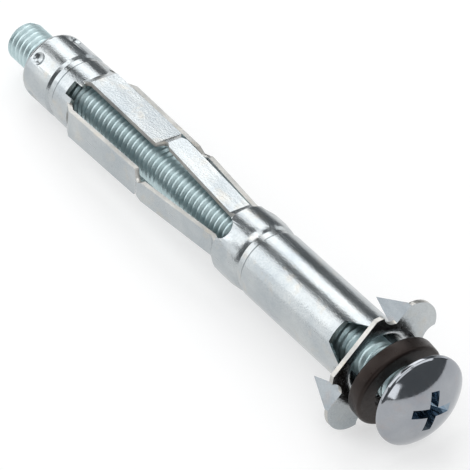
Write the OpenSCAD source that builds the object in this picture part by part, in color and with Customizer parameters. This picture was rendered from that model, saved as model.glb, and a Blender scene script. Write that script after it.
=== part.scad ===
// Cavity wall anchor, lying on its side as it comes to rest on a table.
// Every piece is drawn along the anchor's own axis: z = 0 is the flange's wall side, the head is at +z,
// and stations on the sleeve are counted from the flange towards the far end.
// The module at_rest() then lays the finished piece down.

/* [Sheet and tube] */
// Thickness of the sleeve's sheet
sheet = 0.7; // [0.6:0.05:0.8]
// Length of the plain tube, from the flange to the slots
plain_len = 28.7; // [20:0.5:40]
// Length of the slots, and so of the four legs
leg_len = 38.8; // [34:0.5:46]
// Length of the nut collar, from the slots to the rim
collar_len = 10.3; // [9.8:0.1:13]
// Outer radius of the rim that is rolled in at the far end
rim_bend_r = 1.1; // [0.9:0.1:1.2]

/* [Grooves and dimples] */
// Distance from the slots back to the middle of the groove in the tube
tube_groove_back = 4.1; // [3.5:0.1:6]
// Distance from the slots on to the middle of the groove in the nut collar
nut_groove_on = 3; // [2.6:0.1:3.2]
// Width of both rolled grooves
groove_w = 1.8; // [1.4:0.1:2]
// Depth of both rolled grooves
groove_depth = 0.28; // [0.2:0.02:0.34]
// How far the tube flares out where it meets the legs
ring_flare = 0.2; // [0.1:0.05:0.3]
// Number of dimples punched into the nut collar
dimple_count = 5; // [4:1:6]
// Radius of the punch that makes the dimples
dimple_r = 1.3; // [1.1:0.1:1.4]
// Depth of the dimples
dimple_depth = 0.5; // [0.4:0.05:0.6]
// Distance of the dimples from the rim
dimple_in = 2.4; // [2.2:0.1:2.8]

/* [Legs] */
// Width of the slots at the nut collar
slot_w_nut = 2.2; // [1.8:0.1:2.6]
// Width of the slots at the tube, where they end round
slot_w_tube = 3.2; // [2.8:0.1:3.6]
// Width of a leg's half next to the nut collar
leg_w_nut = 4.2; // [3.8:0.1:4.6]
// Width of a leg at the tube
leg_w_tube = 3.2; // [2.8:0.1:3.8]
// Width of a leg just past its middle crease
leg_w_mid = 3; // [2.6:0.1:3.4]
// Width left between the notches in the middle crease
leg_w_notch = 2.2; // [1.8:0.1:2.5]
// Distance of the middle crease from the tube's end of the slots
mid_crease_at = 19.2; // [17:0.2:21]
// Length of the step in the middle crease
mid_crease_len = 1.6; // [1.2:0.1:2]
// How far a leg's outer face stands out of the tube's round, where it rises from the nut collar
leg_rise_nut = 0.55; // [0.3:0.05:0.8]
// How far a leg's outer face stands out of the tube's round, before the middle crease
leg_rise_before = 0.2; // [0:0.05:0.4]
// How far a leg's outer face stands out of the tube's round, past the middle crease
leg_rise_past = 0.85; // [0.6:0.05:1.1]
// How far a leg's outer face dips below the tube's round, in the crease next to the tube
leg_dip_tube = 0.7; // [0.5:0.05:0.9]
// Length of the slanted ends of a leg
leg_end_len = 2.2; // [1.8:0.1:2.6]
// Length of the curved tongues that join the legs to the nut collar
tongue_len = 1.6; // [1.2:0.1:1.8]

/* [Flange] */
// How far the two ears reach out of the tube
ear_out = 5; // [4.6:0.1:6]
// Radius of an ear's round end
ear_r = 3.7; // [3.4:0.1:4]
// How far the round of the flange reaches out of the tube between the ears
flange_out = 2.7; // [2.2:0.1:3]
// How far the straight tab edges are from the tube
tab_out = 1.3; // [1.1:0.1:1.6]
// Radius of the round bites that part the ears from the tabs
bite_r = 1.9; // [1:0.1:2]
// Distance of a bite's centre from the tube, towards the ear's end
bite_out = 1.8; // [1.6:0.1:2.4]
// Distance of a bite's centre from the middle line of the ears
bite_side = 4.6; // [4.4:0.1:5]
// Distance from the axis to the folded edge that carries the claws
claw_edge = 3.1; // [2.9:0.1:3.3]
// Length of a claw
claw_len = 4.6; // [3.5:0.1:6]
// Width of a claw at its root
claw_w = 3.6; // [3:0.1:4]
// Distance from the tip of the ear to the outer end of a claw's root
claw_in = 1.5; // [1.3:0.1:1.8]
// Share of a claw's root that lies outside its point
claw_lean = 0.6; // [0.4:0.05:0.7]
// Inner radius of the bend between the tube and the flange
flange_bend_r = 0.6; // [0.4:0.1:0.8]
// Height of the relief windows in the tube behind the tabs
window_h = 4.8; // [3:0.2:6]
// Width of the relief windows at the flange
window_w = 8; // [7:0.2:8.6]
// Width of the relief windows at their far edge
window_far_w = 3.4; // [2:0.2:4.4]

/* [Screw] */
// Outer diameter of the thread
thread_d = 6; // [5.5:0.1:6.2]
// How far the screw's end stands out of the sleeve
tip_out = 7.1; // [4:0.1:12]
// Chamfer at the screw's end
tip_chamfer = 0.6; // [0.3:0.1:1]
// Diameter of the head
head_d = 13.3; // [12:0.1:14]
// Height of the straight edge of the head
head_edge = 0.6; // [0.4:0.1:1]
// Height of the dome above that edge
head_dome = 2.7; // [2:0.1:3.4]
// Width of the wings of the cross recess
recess_w = 1.3; // [1:0.1:1.6]
// Length of the cross recess at the top of the head
recess_len = 6.8; // [5.5:0.1:8]
// Length of the cross recess at its floor
recess_floor_len = 2.6; // [2:0.1:3.4]
// Depth of the cross recess
recess_depth = 2.3; // [1.6:0.1:2.6]
// How far the recess is turned against the flange's ears
recess_turn = 35; // [0:5:90]
// Distance of the head from the flange, as the screw stands before it is set
head_out = 7.63; // [6.5:0.01:10]

/* [Washer] */
// Outer diameter of the plastic washer
washer_d = 13.2; // [12:0.1:14]
// Thickness of the plastic washer
washer_t = 2.4; // [1.6:0.1:2.8]
// Rounding of the washer's outer edges
washer_round = 0.5; // [0.3:0.1:0.7]
// Radial play of the washer on the shank that it hangs on
washer_play = 0.8; // [0.6:0.1:1.3]
// Lean of the washer, its lower edge towards the flange
washer_lean = 10; // [0:1:12]
// Gap between the flange and the washer's lower edge
washer_gap = 0.4; // [0.2:0.1:0.8]

/* [Nut] */
// Wall of the nut round the thread, which the sleeve's tube then fits
nut_wall = 1.3; // [1.2:0.05:1.6]
// Depth of the groove round the nut that the dimples reach into
nut_groove_depth = 0.5; // [0.45:0.05:0.6]

/* [Clearances] */
// Clearance of the thread in the nut, and of the shank's top under the washer
thread_clear = 0.05; // [0.03:0.01:0.1]
// Clearance between the nut and the sleeve
nut_clear = 0.05; // [0.03:0.01:0.1]

/* [Hidden] */
$fn = 64;

zinc = [0.80, 0.82, 0.84];
steel = [0.62, 0.66, 0.68];
black_plastic = [0.09, 0.08, 0.08];

arc_steps = 6;
cut = 0.01;
leg_inset = 0.08;
leg_lap = 0.25;

thread_r = thread_d / 2;
tube_r = thread_r + thread_clear + nut_wall + nut_clear + sheet;
tube_d = 2 * tube_r;
slot_from = plain_len;
slot_to = plain_len + leg_len;
sleeve_len = slot_to + collar_len;
ring_r = tube_r + ring_flare;
tube_groove_at = slot_from - tube_groove_back;
nut_groove_at = slot_to + nut_groove_on;
mid_at = slot_from + mid_crease_at;
dimple_at = sleeve_len - dimple_in;
tube_tongue = slot_w_tube / 2 - leg_inset;
leg_out_nut = tube_r + leg_rise_nut;
leg_out_before_mid = tube_r + leg_rise_before;
leg_out_after_mid = tube_r + leg_rise_past;
leg_out_tube = tube_r - leg_dip_tube;
ear_reach = tube_r + ear_out;
flange_r = tube_r + flange_out;
tab_reach = tube_r + tab_out;

// The washer's bore rests on the top of the shank, and its lower edge stands nearest to the flange
washer_r = washer_d / 2;
washer_bore_r = thread_r + washer_play;
washer_drop = washer_bore_r * cos(washer_lean) - washer_t / 2 * sin(washer_lean) - thread_r - thread_clear;
washer_mid = sheet + washer_gap + washer_r * sin(washer_lean) + washer_t / 2 * cos(washer_lean);
head_from = sheet + head_out;
head_r = head_d / 2;
dome_r = (head_r * head_r + head_dome * head_dome) / (2 * head_dome);
tip_at = sleeve_len + tip_out;

nut_r = tube_r - sheet - nut_clear;
nut_from = nut_groove_at + groove_w / 2 + nut_clear;
nut_to = sleeve_len - sheet - nut_clear;

nut_chamfer = rim_bend_r - sheet + nut_clear;

// The sheet gets a little thinner where a dimple is punched
punched_share = 0.8;
dimple_bump_r = dimple_r + punched_share * sheet;

// The anchor lies on the flange and on a leg or the rolled rim. The flange touches along the line from its
// round middle to an ear, and rest_angle is the direction of that line's normal, counted from the ear.
rest_angle = acos((flange_r - ear_r) / (ear_reach - ear_r));
off_leg = rest_angle - 45;
nut_crease_at = slot_to - tongue_len / 2 - leg_end_len;
nut_crease_drop = leg_out_nut * cos(off_leg) + leg_w_nut / 2 * abs(sin(off_leg));
mid_crease_drop = leg_out_after_mid * cos(off_leg) + leg_w_mid / 2 * abs(sin(off_leg));
rim_at = sleeve_len - rim_bend_r;
rim_rise = flange_r - tube_r + rim_bend_r;
rest_roll = 180 - rest_angle;
rest_tilt = min(
    atan((flange_r - nut_crease_drop) / nut_crease_at),
    atan((flange_r - mid_crease_drop) / mid_at),
    acos(rim_bend_r / sqrt(pow(rim_at, 2) + pow(rim_rise, 2))) - atan(rim_at / rim_rise));
rest_lift = flange_r * cos(rest_tilt);

// Reach of the screw's two ends from the flange, as the anchor lies, and the shift that centres them
head_top = head_from + head_edge + head_dome;
head_end = (head_top - dome_r) * cos(rest_tilt) + dome_r;
tip_end = tip_at * cos(rest_tilt) + (thread_r - tip_chamfer) * sin(rest_tilt);
rest_shift = (tip_end - head_end) / 2;

// Points of an arc about [r, z], from one angle to another
function arc(centre, radius, from, to) =
    [for (i = [0 : arc_steps])
        let (a = from + (to - from) * i / arc_steps)
        centre + radius * [cos(a), sin(a)]];

// A wall of sheet thickness whose outer face follows the given points
function wall(points) =
    concat(points, [for (i = [len(points) - 1 : -1 : 0]) points[i] - [sheet, 0]]);

// Outer face of a rolled groove, as [radius, z] points
function groove(radius, at) = [
    [radius, -(at - groove_w / 2)],
    [radius - groove_depth, -(at - groove_w / 4)],
    [radius - groove_depth, -(at + groove_w / 4)],
    [radius, -(at + groove_w / 2)]];

// Lays a piece down on its side, head towards +X
module at_rest() {
    translate([rest_shift, 0, rest_lift])
        rotate([0, 90 - rest_tilt, 0])
            rotate([0, 0, rest_roll])
                children();
}

// Plain tube with its groove, and the flared ring that carries the legs
module tube_wall() {
    bend_c = [tube_r + flange_bend_r, -flange_bend_r];
    outer = concat(
        arc(bend_c, flange_bend_r, 90, 180),
        groove(tube_r, tube_groove_at),
        [[ring_r, -(slot_from - groove_w)], [ring_r, -(slot_from + tube_tongue)]]);
    inner = concat(
        [[ring_r - sheet, -(slot_from + tube_tongue)], [ring_r - sheet, -(slot_from - groove_w)]],
        [for (i = [3 : -1 : 0]) groove(tube_r, tube_groove_at)[i] - [sheet, 0]],
        arc(bend_c, flange_bend_r + sheet, 180, 90));
    rotate_extrude()
        polygon(concat(outer, inner));
}

// Nut collar with its groove and its rolled-in rim
module collar_wall() {
    rim_c = [tube_r - rim_bend_r, -rim_at];
    lip_r = tube_r - rim_bend_r - sheet / 2;
    outer = concat(
        [[tube_r, -(slot_to - tongue_len)]],
        groove(tube_r, nut_groove_at),
        arc(rim_c, rim_bend_r, 0, -90),
        [[lip_r, -sleeve_len]]);
    inner = concat(
        [[lip_r, -(sleeve_len - sheet)]],
        arc(rim_c, rim_bend_r - sheet, -90, 0),
        [for (i = [3 : -1 : 0]) groove(tube_r, nut_groove_at)[i] - [sheet, 0]],
        [[tube_r - sheet, -(slot_to - tongue_len)]]);
    rotate_extrude()
        polygon(concat(outer, inner));
}

// One slot: square at the nut collar, round at the tube
module slot_cut() {
    translate([0, -slot_w_nut / 2, -slot_to])
        cube([tube_d, slot_w_nut, 2 * tongue_len]);
    translate([0, 0, -(slot_from + slot_w_tube / 2)])
        rotate([0, 90, 0])
            cylinder(h = tube_d, d = slot_w_tube);
}

// One flat leg with its creases, its notches and its slanted ends, along +X
module leg() {
    tube_end = slot_from + tube_tongue - leg_lap;
    nut_end = slot_to - tongue_len / 2;
    tube_crease = slot_from + tube_tongue / 2 + leg_end_len;
    mid_from = mid_at - mid_crease_len / 2;
    mid_to = mid_at + mid_crease_len / 2;
    // A leg's flat ends start inside the round wall, so that its corners don't stand out of it
    tube_join = sqrt(pow(ring_r, 2) - pow(leg_w_tube / 2, 2)) - leg_inset;
    nut_join = sqrt(pow(tube_r, 2) - pow(leg_w_nut / 2, 2)) - leg_inset;
    faces = [
        [tube_join, -tube_end],
        [leg_out_tube, -tube_crease],
        [leg_out_after_mid, -mid_from],
        [leg_out_before_mid, -mid_to],
        [leg_out_nut, -nut_crease_at],
        [nut_join, -nut_end]];
    edges = [
        [leg_w_tube / 2, -tube_end],
        [leg_w_mid / 2, -(mid_from - mid_crease_len / 2)],
        [leg_w_notch / 2, -mid_from],
        [leg_w_notch / 2, -mid_at],
        [leg_w_nut / 2, -mid_to],
        [leg_w_nut / 2, -nut_end]];
    intersection() {
        rotate([90, 0, 0])
            linear_extrude(height = 2 * leg_w_nut, center = true)
                polygon(wall(faces));
        rotate([90, 0, 90])
            linear_extrude(height = tube_d)
                polygon(concat(edges, [for (i = [len(edges) - 1 : -1 : 0]) [-edges[i][0], edges[i][1]]]));
    }
}

// Outline of the flange: straight tabs at +-Y and round ears at +-X
module flange_outline() {
    difference() {
        union() {
            intersection() {
                circle(r = flange_r);
                square([2 * flange_r, 2 * tab_reach], center = true);
            }
            difference() {
                for (side = [-1, 1])
                    translate([side * (ear_reach - ear_r), 0])
                        circle(r = ear_r);
                translate([-ear_reach, claw_edge])
                    square([2 * ear_reach, ear_r]);
            }
        }
        for (x = [-1, 1], y = [-1, 1])
            translate([x * (tube_r + bite_out), y * bite_side])
                circle(r = bite_r);
    }
}

// The plate that is turned out of the tube, with its claws
module flange_plate() {
    difference() {
        linear_extrude(height = sheet)
            flange_outline();
        translate([0, 0, -cut])
            cylinder(h = sheet + 2 * cut, r = tube_r + flange_bend_r - cut);
    }
    claw_to = ear_reach - claw_in;
    claw_from = claw_to - claw_w;
    claw_point = claw_to - claw_lean * claw_w;
    for (side = [0, 1])
        mirror([side, 0, 0])
            translate([0, claw_edge, sheet])
                rotate([90, 0, 0])
                    linear_extrude(height = sheet)
                        polygon([[claw_from, 0], [claw_to, 0], [claw_to, -sheet],
                                 [claw_point, -sheet - claw_len], [claw_from, -sheet]]);
}

// Relief windows in the tube behind both tabs
module window_cut() {
    rotate([90, 0, 0])
        linear_extrude(height = 2 * tube_d, center = true)
            polygon([[-window_w / 2, 0], [-window_far_w / 2, -window_h],
                     [window_far_w / 2, -window_h], [window_w / 2, 0]]);
}

// Centres of the punched dimples, as a ring of copies
module dimple_ring() {
    for (i = [0 : dimple_count - 1])
        rotate([0, 0, 90 + 360 * i / dimple_count])
            translate([tube_r - dimple_depth + dimple_r, 0, -dimple_at])
                children();
}

// Sheet-metal sleeve: collar, legs, tube and flange in one piece
module sleeve() {
    color(zinc)
        at_rest() {
            difference() {
                tube_wall();
                window_cut();
                for (i = [0 : 3])
                    rotate([0, 0, 90 * i])
                        slot_cut();
            }
            difference() {
                union() {
                    collar_wall();
                    intersection() {
                        dimple_ring()
                            sphere(r = dimple_bump_r);
                        translate([0, 0, -rim_at])
                            cylinder(h = collar_len, r = tube_r - sheet / 2);
                    }
                }
                dimple_ring()
                    sphere(r = dimple_r);
                for (i = [0 : 3])
                    rotate([0, 0, 90 * i])
                        slot_cut();
            }
            for (i = [0 : 3])
                rotate([0, 0, 45 + 90 * i])
                    leg();
            flange_plate();
        }
}

// Threaded insert inside the nut collar
module nut() {
    groove_half = sqrt(pow(dimple_bump_r, 2) - pow(dimple_r - dimple_depth + sheet, 2)) + 2 * nut_clear;
    color(steel)
        at_rest()
            difference() {
                union() {
                    translate([0, 0, -nut_to + nut_chamfer])
                        cylinder(h = nut_to - nut_from - nut_chamfer, r = nut_r);
                    translate([0, 0, -nut_to])
                        cylinder(h = nut_chamfer, r1 = nut_r - nut_chamfer, r2 = nut_r);
                }
                translate([0, 0, -nut_to - cut])
                    cylinder(h = nut_to - nut_from + 2 * cut, r = thread_r + thread_clear);
                translate([0, 0, -dimple_at - groove_half])
                    difference() {
                        cylinder(h = 2 * groove_half, r = nut_r + cut);
                        translate([0, 0, -cut])
                            cylinder(h = 2 * groove_half + 2 * cut, r = nut_r - nut_groove_depth);
                    }
            }
}

// Section of the washer, with round outer edges
module washer_section() {
    edge = washer_r - washer_round;
    polygon(concat(
        [[washer_bore_r, 0]],
        arc([edge, washer_round], washer_round, -90, 0),
        arc([edge, washer_t - washer_round], washer_round, 0, 90),
        [[washer_bore_r, washer_t]]));
}

// Plastic ring that hangs on the shank
module washer() {
    color(black_plastic)
        at_rest()
            rotate([0, 0, -rest_roll])
                translate([washer_drop, 0, washer_mid])
                    rotate([0, washer_lean, 0])
                        translate([0, 0, -washer_t / 2])
                            rotate_extrude()
                                washer_section();
}

// Cross recess in the head, from its floor upwards
module recess_cut() {
    over = recess_depth + head_edge;
    spread = (recess_len - recess_floor_len) / (2 * recess_depth) * over;
    for (turn = [0, 90])
        rotate([90, 0, turn + recess_turn])
            linear_extrude(height = recess_w, center = true)
                polygon([[-recess_floor_len / 2, 0], [recess_floor_len / 2, 0],
                         [recess_floor_len / 2 + spread, over], [-recess_floor_len / 2 - spread, over]]);
}

// Machine screw with a low domed head
module screw() {
    color(steel)
        at_rest()
            difference() {
                union() {
                    translate([0, 0, -tip_at])
                        cylinder(h = tip_chamfer, r1 = thread_r - tip_chamfer, r2 = thread_r);
                    translate([0, 0, -tip_at + tip_chamfer])
                        cylinder(h = tip_at - tip_chamfer + head_from + cut, r = thread_r);
                    translate([0, 0, head_from])
                        cylinder(h = head_edge, r = head_r);
                    intersection() {
                        translate([0, 0, head_top - dome_r])
                            sphere(r = dome_r);
                        translate([0, 0, head_from + head_edge - cut])
                            cylinder(h = head_dome + 2 * cut, r = head_r);
                    }
                }
                translate([0, 0, head_top - recess_depth])
                    recess_cut();
            }
}

sleeve();
nut();
washer();
screw();
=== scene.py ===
import math

import bpy
from mathutils import Matrix, Vector


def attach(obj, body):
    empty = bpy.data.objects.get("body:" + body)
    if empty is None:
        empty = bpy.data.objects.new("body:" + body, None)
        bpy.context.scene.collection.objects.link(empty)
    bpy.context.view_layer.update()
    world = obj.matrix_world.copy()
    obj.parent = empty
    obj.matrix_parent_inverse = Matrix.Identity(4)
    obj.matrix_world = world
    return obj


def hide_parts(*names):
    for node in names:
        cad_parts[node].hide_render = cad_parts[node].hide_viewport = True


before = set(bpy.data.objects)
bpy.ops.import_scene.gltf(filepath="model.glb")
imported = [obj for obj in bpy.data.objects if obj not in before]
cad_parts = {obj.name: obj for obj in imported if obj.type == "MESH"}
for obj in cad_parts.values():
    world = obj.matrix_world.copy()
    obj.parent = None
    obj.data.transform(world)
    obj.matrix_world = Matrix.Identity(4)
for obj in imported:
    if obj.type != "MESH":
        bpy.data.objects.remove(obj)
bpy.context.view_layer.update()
mm = 0.001
weldGap = 0.002 * mm  # vertices closer than this are one

# how the anchor lies: the screw and washer are modelled upright, with the flange's wall side at zero,
# and laid down at the end
lie = {
    "tilt": 1.76183,
    "roll": 129.83844,
    "lift": 7.79631 * mm,
    "shift": 36.65232 * mm,
}
layDown = (
    Matrix.Translation((lie["shift"], 0, lie["lift"]))
    @ Matrix.Rotation(math.radians(90 - lie["tilt"]), 4, "Y")
    @ Matrix.Rotation(math.radians(lie["roll"]), 4, "Z")
)


def pickOnly(obj):
    bpy.ops.object.select_all(action="DESELECT")
    obj.select_set(True)
    bpy.context.view_layer.objects.active = obj


def editAll(obj):
    pickOnly(obj)
    bpy.ops.object.mode_set(mode="EDIT")
    bpy.ops.mesh.select_all(action="SELECT")


def objectMode():
    bpy.ops.object.mode_set(mode="OBJECT")


def pickFaces(obj, test):
    # faces chosen by their normal, from object mode
    bpy.ops.object.mode_set(mode="EDIT")
    bpy.ops.mesh.select_mode(type="FACE")
    bpy.ops.mesh.select_all(action="DESELECT")
    objectMode()
    for face in obj.data.polygons:
        face.select = test(face.normal)
    bpy.ops.object.mode_set(mode="EDIT")


def drawProfile(name, points):
    # a line of points in the plane of the axis, drawn by extruding one vertex
    bpy.ops.object.select_all(action="DESELECT")
    bpy.ops.mesh.primitive_plane_add(size=1 * mm, location=(0, 0, 0))
    obj = bpy.context.object
    obj.name = name
    obj.data.name = name
    bpy.ops.object.mode_set(mode="EDIT")
    bpy.ops.mesh.select_mode(type="VERT")
    bpy.ops.mesh.select_all(action="SELECT")
    bpy.ops.mesh.merge(type="CENTER")
    bpy.ops.transform.translate(value=(points[0][0] * mm, 0, points[0][1] * mm))
    for (r0, z0), (r1, z1) in zip(points, points[1:]):
        step = ((r1 - r0) * mm, 0, (z1 - z0) * mm)
        bpy.ops.mesh.extrude_vertices_move(TRANSFORM_OT_translate={"value": step})
    objectMode()
    return obj


def spinProfile(obj, steps):
    editAll(obj)
    bpy.ops.mesh.spin(steps=steps, angle=math.tau, center=(0, 0, 0), axis=(0, 0, 1))
    bpy.ops.mesh.select_all(action="SELECT")
    bpy.ops.mesh.remove_doubles(threshold=weldGap)
    bpy.ops.mesh.normals_make_consistent(inside=False)
    objectMode()


def arcPoints(centre, radius, fromAngle, toAngle, steps):
    turn = [math.radians(fromAngle + (toAngle - fromAngle) * i / steps) for i in range(steps + 1)]
    return [(centre[0] + radius * math.cos(a), centre[1] + radius * math.sin(a)) for a in turn]


def useModifier(obj, kind, **values):
    pickOnly(obj)
    bpy.ops.object.modifier_add(type=kind)
    mod = obj.modifiers[-1]
    for key, value in values.items():
        setattr(mod, key, value)
    bpy.ops.object.modifier_apply(modifier=mod.name)


def roundEdges(obj, width, steps, sharpFrom):
    useModifier(
        obj, "BEVEL", width=width, segments=steps, limit_method="ANGLE",
        angle_limit=math.radians(sharpFrom), use_clamp_overlap=True,
    )


def smoothEdges(obj, angle):
    pickOnly(obj)
    bpy.ops.object.shade_smooth_by_angle(angle=math.radians(angle))


def giveFinishes(obj, *finishes):
    obj.data.materials.clear()
    for finish in finishes:
        obj.data.materials.append(finish)


def applyPlace(obj, place):
    obj.matrix_world = place
    pickOnly(obj)
    bpy.ops.object.transform_apply(location=True, rotation=True, scale=True)


# finishes: node helpers first
noiseRough = 0.55
mixSockets = {"fac": 0, "first": 6, "second": 7, "result": 2}  # the colour sockets of a Mix node


def startFinish(name):
    mat = bpy.data.materials.new(name)
    mat.use_nodes = True
    tree = mat.node_tree
    shader = tree.nodes["Principled BSDF"]
    coord = tree.nodes.new("ShaderNodeTexCoord")
    turn = tree.nodes.new("ShaderNodeMapping")  # back to the anchor's own upright axis
    turn.vector_type = "TEXTURE"
    turn.inputs["Location"].default_value = layDown.to_translation()
    turn.inputs["Rotation"].default_value = layDown.to_euler()
    tree.links.new(coord.outputs["Object"], turn.inputs["Vector"])
    return mat, tree, shader, turn.outputs["Vector"]


def noiseNode(tree, where, scale, detail, stretch=None):
    if stretch:
        wide = tree.nodes.new("ShaderNodeMapping")
        wide.inputs["Scale"].default_value = stretch
        tree.links.new(where, wide.inputs["Vector"])
        where = wide.outputs["Vector"]
    noise = tree.nodes.new("ShaderNodeTexNoise")
    noise.inputs["Scale"].default_value = scale
    noise.inputs["Detail"].default_value = detail
    noise.inputs["Roughness"].default_value = noiseRough
    tree.links.new(where, noise.inputs["Vector"])
    return noise.outputs["Fac"]


def rampNode(tree, fac, places, colours):
    ramp = tree.nodes.new("ShaderNodeValToRGB")
    while len(ramp.color_ramp.elements) < len(places):
        ramp.color_ramp.elements.new(0.5)
    for element, at, colour in zip(ramp.color_ramp.elements, places, colours):
        element.position = at
        element.color = (*colour, 1)
    tree.links.new(fac, ramp.inputs["Fac"])
    return ramp.outputs["Color"]


def rangeNode(tree, fac, span, low, high):
    fit = tree.nodes.new("ShaderNodeMapRange")
    fit.inputs["From Min"].default_value = span[0]
    fit.inputs["From Max"].default_value = span[1]
    fit.inputs["To Min"].default_value = low
    fit.inputs["To Max"].default_value = high
    tree.links.new(fac, fit.inputs["Value"])
    return fit.outputs["Result"]


def mixColours(tree, fac, first, second, how="MIX"):
    mix = tree.nodes.new("ShaderNodeMix")
    mix.data_type = "RGBA"
    mix.blend_type = how
    tree.links.new(fac, mix.inputs[mixSockets["fac"]])
    tree.links.new(first, mix.inputs[mixSockets["first"]])
    mix.inputs[mixSockets["second"]].default_value = (*second, 1)
    return mix.outputs[mixSockets["result"]]


def radiusNode(tree, where):
    # distance from the anchor's axis
    flat = tree.nodes.new("ShaderNodeVectorMath")
    flat.operation = "MULTIPLY"
    flat.inputs[1].default_value = (1, 1, 0)
    tree.links.new(where, flat.inputs[0])
    length = tree.nodes.new("ShaderNodeVectorMath")
    length.operation = "LENGTH"
    tree.links.new(flat.outputs["Vector"], length.inputs[0])
    return length.outputs["Value"]


def addBump(tree, shader, fac, depth, strength):
    bump = tree.nodes.new("ShaderNodeBump")
    bump.inputs["Strength"].default_value = strength
    bump.inputs["Distance"].default_value = depth
    tree.links.new(fac, bump.inputs["Height"])
    tree.links.new(bump.outputs["Normal"], shader.inputs["Normal"])


zincLook = {
    "cool": (0.395, 0.432, 0.455),
    "pale": (0.515, 0.538, 0.543),
    "warm": (0.56, 0.50, 0.41),
    "warmShare": 0.45,
    "roughLow": 0.15,
    "roughHigh": 0.29,
    "speckle": 0.2,
    "speckleColour": (0.62, 0.64, 0.65),
    "poreDepth": 0.034 * mm,
    "poreStrength": 0.6,
    # noises: scale and detail
    "clouds": (170, 5),
    "grain": (1500, 6),
    "grainStretch": (1, 1, 0.12),
    "spots": (420, 3),
    "specks": (5200, 2),
    "pores": (3600, 3),
    # how much of each noise is used
    "cloudSpan": (0.32, 0.68),
    "grainSpan": (0.3, 0.7),
    "spotSpan": (0.56, 0.78),
    "speckSpan": (0.42, 0.62),
}


def makeZinc(name, look):
    mat, tree, shader, where = startFinish(name)
    clouds = noiseNode(tree, where, *look["clouds"])
    grain = noiseNode(tree, where, *look["grain"], stretch=look["grainStretch"])
    spots = noiseNode(tree, where, *look["spots"])
    specks = noiseNode(tree, where, *look["specks"])
    pores = noiseNode(tree, where, *look["pores"])
    base = rampNode(tree, clouds, look["cloudSpan"], (look["cool"], look["pale"]))
    patch = rangeNode(tree, spots, look["spotSpan"], 0, look["warmShare"])
    colour = mixColours(tree, patch, base, look["warm"])
    speckle = rangeNode(tree, specks, look["speckSpan"], 0, look["speckle"])
    colour = mixColours(tree, speckle, colour, look["speckleColour"], "MULTIPLY")
    tree.links.new(colour, shader.inputs["Base Color"])
    rough = rangeNode(tree, grain, look["grainSpan"], look["roughLow"], look["roughHigh"])
    tree.links.new(rough, shader.inputs["Roughness"])
    shader.inputs["Metallic"].default_value = 1.0
    addBump(tree, shader, pores, look["poreDepth"], look["poreStrength"])
    return mat


cutEdgeLook = {
    **zincLook,
    "cool": (0.36, 0.36, 0.35),
    "pale": (0.60, 0.59, 0.56),
    "warm": (0.46, 0.38, 0.27),
    "warmShare": 0.55,
    "roughLow": 0.26,
    "roughHigh": 0.42,
}
# darker zinc for the flange and its claws: painted shade, not a different plating
flangeShadeLook = {
    **zincLook,
    "cool": (0.205, 0.232, 0.255),
    "pale": (0.295, 0.317, 0.332),
    "warm": (0.31, 0.25, 0.22),
    "warmShare": 0.5,
    "roughLow": 0.24,
    "roughHigh": 0.38,
}
zincSheet = makeZinc("zincSheet", zincLook)
zincCutEdge = makeZinc("zincCutEdge", cutEdgeLook)
zincFlangeShade = makeZinc("zincFlangeShade", flangeShadeLook)
print("finish: zinc sheet, its cut edges and the pressed flange")

threadLook = {
    # colours from the thread's root to its crest: the darker roots are painted shade in the grooves
    "root": (0.40, 0.52, 0.54),
    "flank": (0.50, 0.63, 0.65),
    "crest": (0.60, 0.73, 0.75),
    "stops": (0.0, 0.5, 0.95),
    "radiusSpan": (2.4 * mm, 3.0 * mm),
    "oil": (260, 4),  # noise scale and detail
    "oilSpan": (0.4, 0.75),
    "oilShare": 0.5,
    "oilColour": (0.66, 0.72, 0.72),
    "fine": (2600, 4),
    "fineSpan": (0.3, 0.7),
    "roughLow": 0.33,
    "roughHigh": 0.46,
    "metallic": 0.82,
    "bumpDepth": 0.006 * mm,
    "bumpStrength": 0.4,
}


def makeThreadSteel(look):
    mat, tree, shader, where = startFinish("threadSteel")
    # colour by distance from the axis: painted shade darkens the thread towards its roots
    height = rangeNode(tree, radiusNode(tree, where), look["radiusSpan"], 0, 1)
    base = rampNode(tree, height, look["stops"], (look["root"], look["flank"], look["crest"]))
    oil = noiseNode(tree, where, *look["oil"])
    film = rangeNode(tree, oil, look["oilSpan"], 0, look["oilShare"])
    colour = mixColours(tree, film, base, look["oilColour"], "MULTIPLY")
    tree.links.new(colour, shader.inputs["Base Color"])
    fine = noiseNode(tree, where, *look["fine"])
    rough = rangeNode(tree, fine, look["fineSpan"], look["roughLow"], look["roughHigh"])
    tree.links.new(rough, shader.inputs["Roughness"])
    shader.inputs["Metallic"].default_value = look["metallic"]
    addBump(tree, shader, fine, look["bumpDepth"], look["bumpStrength"])
    return mat


headLook = {
    **zincLook,
    "cool": (0.305, 0.322, 0.352),
    "pale": (0.395, 0.41, 0.43),
    "warm": (0.40, 0.34, 0.32),
    "warmShare": 0.4,
    "roughLow": 0.06,
    "roughHigh": 0.14,
    "poreDepth": 0.004 * mm,
    "speckle": 0.1,
}
# darker, bluer zinc for the cross recess: painted shade
recessShadeLook = {
    **headLook,
    "cool": (0.17, 0.225, 0.28),
    "pale": (0.38, 0.45, 0.51),
    "warm": (0.24, 0.18, 0.18),
}
nutLook = {
    **zincLook,
    "cool": (0.5, 0.54, 0.57),
    "pale": (0.66, 0.69, 0.7),
    "warmShare": 0.5,
}
threadSteel = makeThreadSteel(threadLook)
headZinc = makeZinc("headZinc", headLook)
recessShadeZinc = makeZinc("recessShadeZinc", recessShadeLook)
nutSteel = makeZinc("nutSteel", nutLook)
print("finish: screw and nut")

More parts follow.
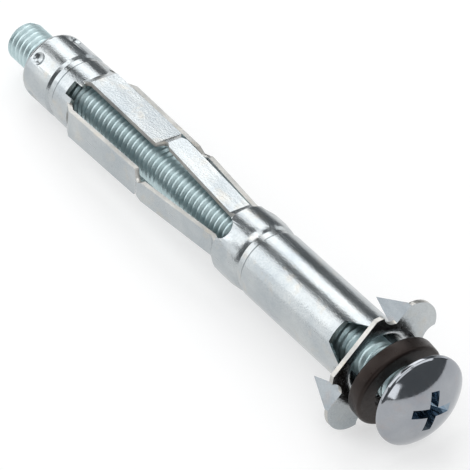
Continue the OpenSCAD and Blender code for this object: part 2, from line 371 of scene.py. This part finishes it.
plasticLook = {
    "dark": (0.006, 0.0038, 0.0033),
    "scuffed": (0.019, 0.0115, 0.0095),
    "clouds": (300, 5),  # noise scale and detail
    "cloudSpan": (0.35, 0.75),
    "grain": (2400, 3),
    "grainSpan": (0.3, 0.7),
    "roughLow": 0.26,
    "roughHigh": 0.46,
    "ior": 1.5,
    "gloss": 0.3,
    "glossTint": (1.0, 0.86, 0.80),
    "bumpDepth": 0.02 * mm,
    "bumpStrength": 0.5,
}


def makePlastic(look):
    mat, tree, shader, where = startFinish("darkPlastic")
    clouds = noiseNode(tree, where, *look["clouds"])
    colour = rampNode(tree, clouds, look["cloudSpan"], (look["dark"], look["scuffed"]))
    tree.links.new(colour, shader.inputs["Base Color"])
    grain = noiseNode(tree, where, *look["grain"])
    rough = rangeNode(tree, grain, look["grainSpan"], look["roughLow"], look["roughHigh"])
    tree.links.new(rough, shader.inputs["Roughness"])
    shader.inputs["IOR"].default_value = look["ior"]
    shader.inputs["Specular IOR Level"].default_value = look["gloss"]
    shader.inputs["Specular Tint"].default_value = (*look["glossTint"], 1)
    addBump(tree, shader, grain, look["bumpDepth"], look["bumpStrength"])
    return mat


darkPlastic = makePlastic(plasticLook)
print("finish: washer")

# sleeve: the folded sheet, its edges rolled over a little
sleeveSet = {
    "edgeRound": 0.09 * mm,
    "edgeSteps": 2,
    "sharpFrom": 24,
    "flatWithin": 0.6,
    "smoothBelow": 32,
    "flatWeight": 50,
    # stretches along the tube from the flange's wall side, and distances from the axis, in mm
    "legs": (28, 68),
    "windows": (1.4, 5),
    "windowReach": 5.3,
    "flange": (-0.75, 0.05),
    "flangeFrom": 5.75,
    "claws": (0, 5),
    "rimFrom": 77,
    "rimReach": 3.85,
    "pressed": (-0.8, 5),
    "pressedFrom": 5.5,
    # how far a cut edge's normal may lean out of the sheet
    "edgeLean": 0.4,
    "clawLean": 0.5,
    "rimLean": 0.5,
}


def within(value, span):
    return span[0] < value < span[1]


def isCutEdge(mid, normal, spec):
    # where the sheet's thickness shows: leg sides, slot ends, windows, flange and claw edges, far rim
    r = math.hypot(mid.x, mid.y) / mm
    along = -mid.z / mm
    outward = (normal.x * mid.x + normal.y * mid.y) / (r * mm)
    inTube = r < spec["windowReach"]
    if within(along, spec["legs"]) or within(along, spec["windows"]) and inTube:
        return abs(outward) < spec["edgeLean"]
    if within(along, spec["flange"]) and r > spec["flangeFrom"]:
        return abs(normal.z) < spec["edgeLean"]
    if within(along, spec["claws"]) and not inTube:
        return abs(normal.y) < spec["clawLean"]
    return along > spec["rimFrom"] and r < spec["rimReach"] and outward < -spec["rimLean"]


def takesFlangeShade(mid, spec):
    # the flange that is turned out of the tube, and its claws: these faces take darker zinc as painted
    # shade
    return within(-mid.z / mm, spec["pressed"]) and math.hypot(mid.x, mid.y) > spec["pressedFrom"] * mm


def makeSleeve(spec):
    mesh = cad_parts["sleeve"].data.copy()
    obj = bpy.data.objects.new("foldedSleeve", mesh)
    bpy.context.scene.collection.objects.link(obj)
    editAll(obj)
    bpy.ops.mesh.remove_doubles(threshold=weldGap)
    bpy.ops.mesh.dissolve_limited(angle_limit=math.radians(spec["flatWithin"]))
    objectMode()
    roundEdges(obj, spec["edgeRound"], spec["edgeSteps"], spec["sharpFrom"])
    smoothEdges(obj, spec["smoothBelow"])
    useModifier(obj, "WEIGHTED_NORMAL", weight=spec["flatWeight"], keep_sharp=True)  # flat faces stay flat
    giveFinishes(obj, zincSheet, zincCutEdge, zincFlangeShade)
    upright = layDown.inverted()
    for face in mesh.polygons:
        mid = upright @ face.center
        if isCutEdge(mid, upright.to_3x3() @ face.normal, spec):
            face.material_index = 1
        # painted shade: the flange and its claws take the darker zinc
        elif takesFlangeShade(mid, spec):
            face.material_index = 2
    return obj


sleevePiece = makeSleeve(sleeveSet)
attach(sleevePiece, "sleeve")
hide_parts("sleeve")
print("sleeve", len(sleevePiece.data.polygons), "faces")

# screw: rolled thread, domed head, cross recess; lengths in mm
threadSet = {
    "crestR": 3.0,
    "rootR": 2.6,
    "pitch": 1.0,
    "tipAt": -84.9,
    "chamfer": 0.6,
    "top": 8.34,
    "steps": 40,
    "spareTurns": 2,
    "crestEase": 0.06,
    "rootEase": 0.03,
    "toothAt": (0, 0.26, 0.34, 0.60, 0.65, 0.70, 0.94, 1),  # shares of the pitch
    "weldGap": 0.004,
    "cutWithin": 0.001,
    "smoothBelow": 40,
}


def makeThread(spec):
    crest, root, pitch = spec["crestR"], spec["rootR"], spec["pitch"]
    eased, filled = crest - spec["crestEase"], root + spec["rootEase"]
    turns = math.ceil((spec["top"] - spec["tipAt"]) / pitch) + spec["spareTurns"]
    radii = (crest, crest, eased, filled, root, filled, eased, crest)
    tooth = [(r, at * pitch + spec["tipAt"] - pitch) for r, at in zip(radii, spec["toothAt"])]
    obj = drawProfile("screwThread", tooth)
    useModifier(
        obj, "SCREW", angle=math.tau, screw_offset=pitch * mm, iterations=turns, steps=spec["steps"],
        render_steps=spec["steps"], use_merge_vertices=False,
    )
    editAll(obj)
    bpy.ops.mesh.remove_doubles(threshold=spec["weldGap"] * mm)
    for at, side in ((spec["tipAt"], -1), (spec["top"], 1)):
        bpy.ops.mesh.select_all(action="SELECT")
        bpy.ops.mesh.bisect(
            plane_co=(0, 0, at * mm), plane_no=(0, 0, side), use_fill=True, clear_outer=True,
            threshold=spec["cutWithin"] * mm,
        )
    bpy.ops.mesh.select_all(action="SELECT")
    bpy.ops.mesh.normals_make_consistent(inside=False)
    objectMode()
    # chamfered tip: the crests run out towards the end
    for v in obj.data.vertices:
        r = math.hypot(v.co.x, v.co.y)
        allowed = (crest - spec["chamfer"]) * mm + (v.co.z - spec["tipAt"] * mm)
        if r > allowed > 0:
            v.co.x *= allowed / r
            v.co.y *= allowed / r
    smoothEdges(obj, spec["smoothBelow"])
    return obj


headSet = {
    "from": 8.33,
    "edge": 0.6,
    "radius": 6.65,
    "dome": 2.7,
    "round": 0.22,
    "roundSteps": 4,
    "domeSteps": 22,
    "rimBelow": 0.12,
    "rimAbove": 0.02,
    "rimIn": 0.03,
    "steps": 96,
    "edgeRound": 0.1,
    "edgeSteps": 3,
    "sharpFrom": 34,
    "smoothBelow": 38,
    "recessDepth": 2.3,
    "recessTop": 6.8,
    "recessFloor": 2.6,
    "recessWidth": 1.3,
    "recessTurn": 35,
    "recessOver": 0.6,  # the cutter stands out of the dome by this
    "recessNarrow": 0.82,  # a wing's width at the floor
    "recessFlare": 1.34,
    # faces that take the painted shade of the recess
    "recessReach": 3.6,
    "recessFrom": 0.5,
    "recessUnder": 0.12,
}


def domeRadius(spec):
    return (spec["radius"] ** 2 + spec["dome"] ** 2) / (2 * spec["dome"])


def makeHead(spec):
    low, rad, r = spec["from"], spec["radius"], spec["round"]
    shoulder = low + spec["edge"]
    domeR = domeRadius(spec)
    top = shoulder + spec["dome"]
    lean = math.degrees(math.asin(rad / domeR))
    under = [(0, low), (rad * 0.5, low)] + arcPoints((rad - r, low + r), r, -90, 0, spec["roundSteps"])
    rim = [(rad, shoulder - spec["rimBelow"]), (rad - spec["rimIn"], shoulder + spec["rimAbove"])]
    over = arcPoints((0, top - domeR), domeR, 90 - lean, 90, spec["domeSteps"])
    over[-1] = (0, top)
    obj = drawProfile("screwHead", under + rim + over[1:])
    spinProfile(obj, spec["steps"])
    cutter = makeRecess(spec, top)
    useModifier(obj, "BOOLEAN", object=cutter, operation="DIFFERENCE", solver="EXACT")
    bpy.data.objects.remove(cutter)
    roundEdges(obj, spec["edgeRound"] * mm, spec["edgeSteps"], spec["sharpFrom"])
    smoothEdges(obj, spec["smoothBelow"])
    return obj


def makeRecess(spec, top):
    # one tapered wing, copied at a right angle
    tall = spec["recessDepth"] + spec["recessOver"]
    spread = (spec["recessTop"] - spec["recessFloor"]) / spec["recessDepth"] * tall
    floorAt = (top - spec["recessDepth"]) * mm
    bpy.ops.object.select_all(action="DESELECT")
    bpy.ops.mesh.primitive_cube_add(size=1, location=(0, 0, floorAt + tall / 2 * mm))
    wing = bpy.context.object
    wing.name = "recessCutter"
    narrow = spec["recessWidth"] * spec["recessNarrow"]
    wing.scale = (spec["recessFloor"] * mm, narrow * mm, tall * mm)
    bpy.ops.object.transform_apply(location=True, rotation=True, scale=True)
    pickFaces(wing, lambda normal: normal.z > 0.9)  # its upper end
    wide = (spec["recessFloor"] + spread) / spec["recessFloor"]
    bpy.ops.transform.resize(
        value=(wide, spec["recessFlare"], 1), center_override=(0, 0, floorAt + tall * mm),
    )
    objectMode()
    pickOnly(wing)
    bpy.ops.object.duplicate()
    cross = bpy.context.object
    bpy.ops.transform.rotate(value=math.pi / 2, orient_axis="Z", center_override=(0, 0, 0))
    bpy.ops.object.transform_apply(location=True, rotation=True, scale=True)
    useModifier(wing, "BOOLEAN", object=cross, operation="UNION", solver="EXACT")
    bpy.data.objects.remove(cross)
    applyPlace(wing, Matrix.Rotation(math.radians(spec["recessTurn"]), 4, "Z"))
    return wing


def paintRecessShade(obj, spec):
    # faces near the axis and well under the dome get the darker zinc, painted shade in the recess
    domeR = domeRadius(spec) * mm
    domeMid = (spec["from"] + spec["edge"] + spec["dome"]) * mm - domeR
    lowest = (spec["from"] + spec["recessFrom"]) * mm
    for face in obj.data.polygons:
        r2 = face.center.x ** 2 + face.center.y ** 2
        highest = domeMid + math.sqrt(domeR ** 2 - r2) - spec["recessUnder"] * mm
        if r2 < (spec["recessReach"] * mm) ** 2 and lowest < face.center.z < highest:
            face.material_index = 1


threadPiece = makeThread(threadSet)
giveFinishes(threadPiece, threadSteel)
headPiece = makeHead(headSet)
giveFinishes(headPiece, headZinc, recessShadeZinc)
paintRecessShade(headPiece, headSet)
pickOnly(headPiece)
threadPiece.select_set(True)
bpy.ops.object.join()
screwPiece = headPiece
screwPiece.name = "machineScrew"
applyPlace(screwPiece, layDown)
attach(screwPiece, "screw")
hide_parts("screw")
print("screw", len(screwPiece.data.polygons), "faces")

# washer: moulded ring on the shank, lengths in mm
washerSet = {
    "thick": 2.4,
    "outerR": 6.6,
    "boreR": 3.8,
    "round": 0.5,
    "roundSteps": 6,
    "boreEase": 0.15,
    "lean": 10,
    "drop": 0.4839,
    "mid": 3.4279,
    "steps": 96,
    "smoothBelow": 40,
}


def makeWasher(spec):
    half, out, bore, r = spec["thick"] / 2, spec["outerR"], spec["boreR"], spec["round"]
    ease = spec["boreEase"]
    points = [(bore, ease - half), (bore + ease, -half)]
    points += arcPoints((out - r, r - half), r, -90, 0, spec["roundSteps"])
    points += arcPoints((out - r, half - r), r, 0, 90, spec["roundSteps"])
    points += [(bore + ease, half), (bore, half - ease), (bore, ease - half)]
    obj = drawProfile("plasticWasher", points)
    spinProfile(obj, spec["steps"])
    smoothEdges(obj, spec["smoothBelow"])
    return obj


# it hangs on the shank, lower edge towards the flange
washerHang = (
    Matrix.Rotation(math.radians(-lie["roll"]), 4, "Z")
    @ Matrix.Translation((washerSet["drop"] * mm, 0, washerSet["mid"] * mm))
    @ Matrix.Rotation(math.radians(washerSet["lean"]), 4, "Y")
)
washerPiece = makeWasher(washerSet)
giveFinishes(washerPiece, darkPlastic)
applyPlace(washerPiece, layDown @ washerHang)
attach(washerPiece, "washer")
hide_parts("washer")
print("washer", len(washerPiece.data.polygons), "faces")

# the nut keeps its own shape inside the collar
giveFinishes(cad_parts["nut"], nutSteel)
print("nut finished")

# floor, lights and camera
studio = {
    "floorSize": 2.4,
    "floorColour": (0.46, 0.46, 0.46),
    "floorRough": 0.9,
    "floorGloss": 0.1,
    "floorGlow": 0.57,
    "worldColour": (0.66, 0.70, 0.73),
    "worldStrength": 0.22,
    "aim": Vector((0.0, 0.0, 0.008)),
}

bpy.ops.object.select_all(action="DESELECT")
bpy.ops.mesh.primitive_plane_add(size=studio["floorSize"], location=(0, 0, 0))
floor = bpy.context.object
floor.name = "paleFloor"
floorMat = bpy.data.materials.new("paleFloor")
floorMat.use_nodes = True
floorShader = floorMat.node_tree.nodes["Principled BSDF"]
floorShader.inputs["Base Color"].default_value = (*studio["floorColour"], 1)
floorShader.inputs["Roughness"].default_value = studio["floorRough"]
floorShader.inputs["Specular IOR Level"].default_value = studio["floorGloss"]
floorShader.inputs["Emission Color"].default_value = (1, 1, 1, 1)
floorShader.inputs["Emission Strength"].default_value = studio["floorGlow"]
floor.data.materials.append(floorMat)

world = bpy.data.worlds.new("softRoom")
world.use_nodes = True
sky = world.node_tree.nodes["Background"]
sky.inputs["Color"].default_value = (*studio["worldColour"], 1)
sky.inputs["Strength"].default_value = studio["worldStrength"]
bpy.context.scene.world = world

tubeSlant = -0.6227  # the plain tube mirrors a light at this slant into the camera
boxes = {
    # angle round the anchor's axis and spread in degrees, length, brightness,
    # slant towards the head's end, distance
    "boxHigh": (61, 36, 0.62, 2.1, tubeSlant, 0.6),
    "boxNear": (128, 43, 0.62, 1.78, tubeSlant, 0.6),
    "boxLow": (164.5, 30, 0.62, 1.25, tubeSlant, 0.6),
    "boxOver": (95, 40, 0.4, 2.2, -0.05, 0.8),
    "boxSide": (15, 30, 0.3, 1.2, -0.1, 0.7),
    "boxFront": (151, 44, 0.22, 1.8, 0.85, 0.7),
    "boxBack": (56, 50, 0.36, 1.5, 0.42, 0.75),
    "boxCrown": (106, 46, 0.3, 1.3, 0.58, 0.75),
}


def softBox(name, turn, spread, length, bright, slant, reach):
    # stands on a ring round the anchor's axis and faces its middle
    out = math.sqrt(1 - slant ** 2)
    a = math.radians(turn)
    toward = Vector((slant, out * math.cos(a), out * math.sin(a)))
    across = Vector((0, -math.sin(a), math.cos(a)))
    along = toward.cross(across)
    width = reach * out * math.radians(spread)
    bpy.ops.object.light_add(type="AREA")
    lamp = bpy.context.object
    lamp.name = name
    lamp.data.shape = "RECTANGLE"
    lamp.data.size = width
    lamp.data.size_y = length
    lamp.data.energy = bright * math.pi * width * length
    turned = Matrix((across, along, toward)).transposed().to_4x4()
    lamp.matrix_world = Matrix.Translation(studio["aim"] + toward * reach) @ turned


for boxName, boxValues in boxes.items():
    softBox(boxName, *boxValues)

camSet = {
    "place": (355.653 * mm, -236.354 * mm, 379.292 * mm),
    "angles": (48.62365, 0.62408, 55.52857),
    "lens": 326.13,
    "sensor": 36,
    "nearest": 10 * mm,
}
camTurn = [math.radians(a) for a in camSet["angles"]]
bpy.ops.object.camera_add(location=camSet["place"], rotation=camTurn)
camera = bpy.context.object
camera.data.lens = camSet["lens"]
camera.data.sensor_width = camSet["sensor"]
camera.data.clip_start = camSet["nearest"]
bpy.context.scene.camera = camera
bpy.context.scene.view_settings.view_transform = "Standard"
print("studio set")
